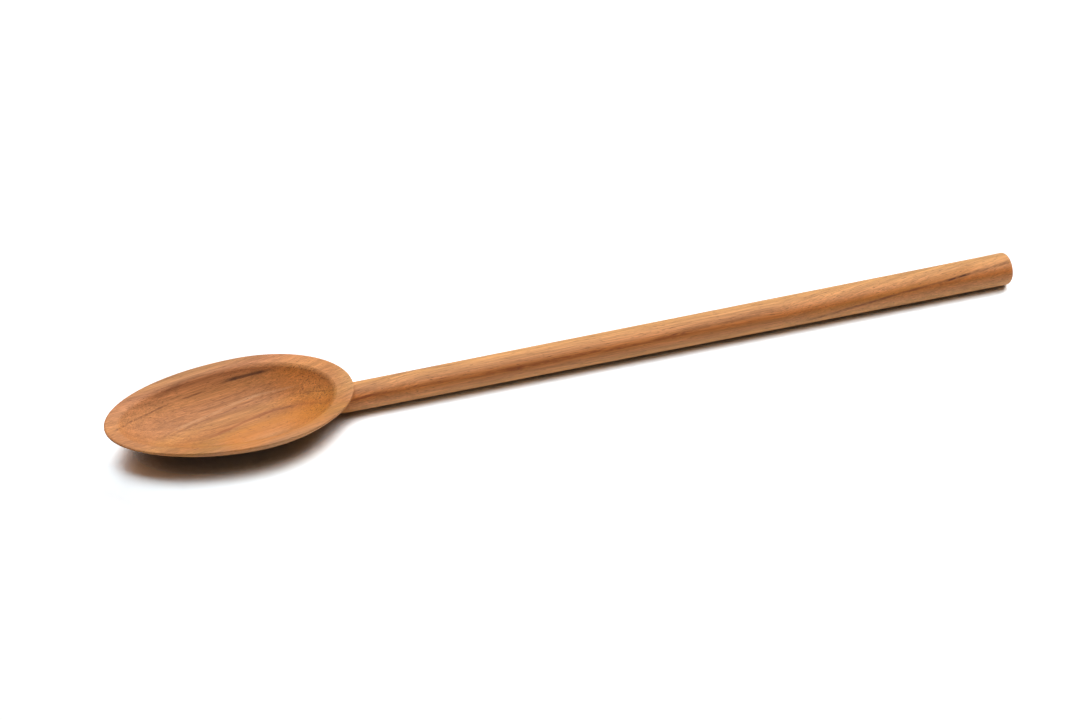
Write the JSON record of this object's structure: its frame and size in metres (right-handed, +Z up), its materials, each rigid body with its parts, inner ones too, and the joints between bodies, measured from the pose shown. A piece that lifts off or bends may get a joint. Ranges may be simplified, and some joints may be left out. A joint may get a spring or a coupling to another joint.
{
  "type": "wooden spoon",
  "caption": "Long one-piece teak cooking spoon with a shallow egg-shaped bowl, a sloping band inside its rim and a round tapered handle.",
  "frame": {"origin": "on the table, under the middle of the spoon's length and width", "axes": "+X from the bowl's tip to the handle's free end, +Y across, +Z up out of the bowl"},
  "size_m": [0.35, 0.0486, 0.0141],
  "materials": {
    "teak": "oiled, satin, open lengthwise grain"
  },
  "bodies": {
    "root": {"spoon": "teak"}
  },
  "joints": []
}
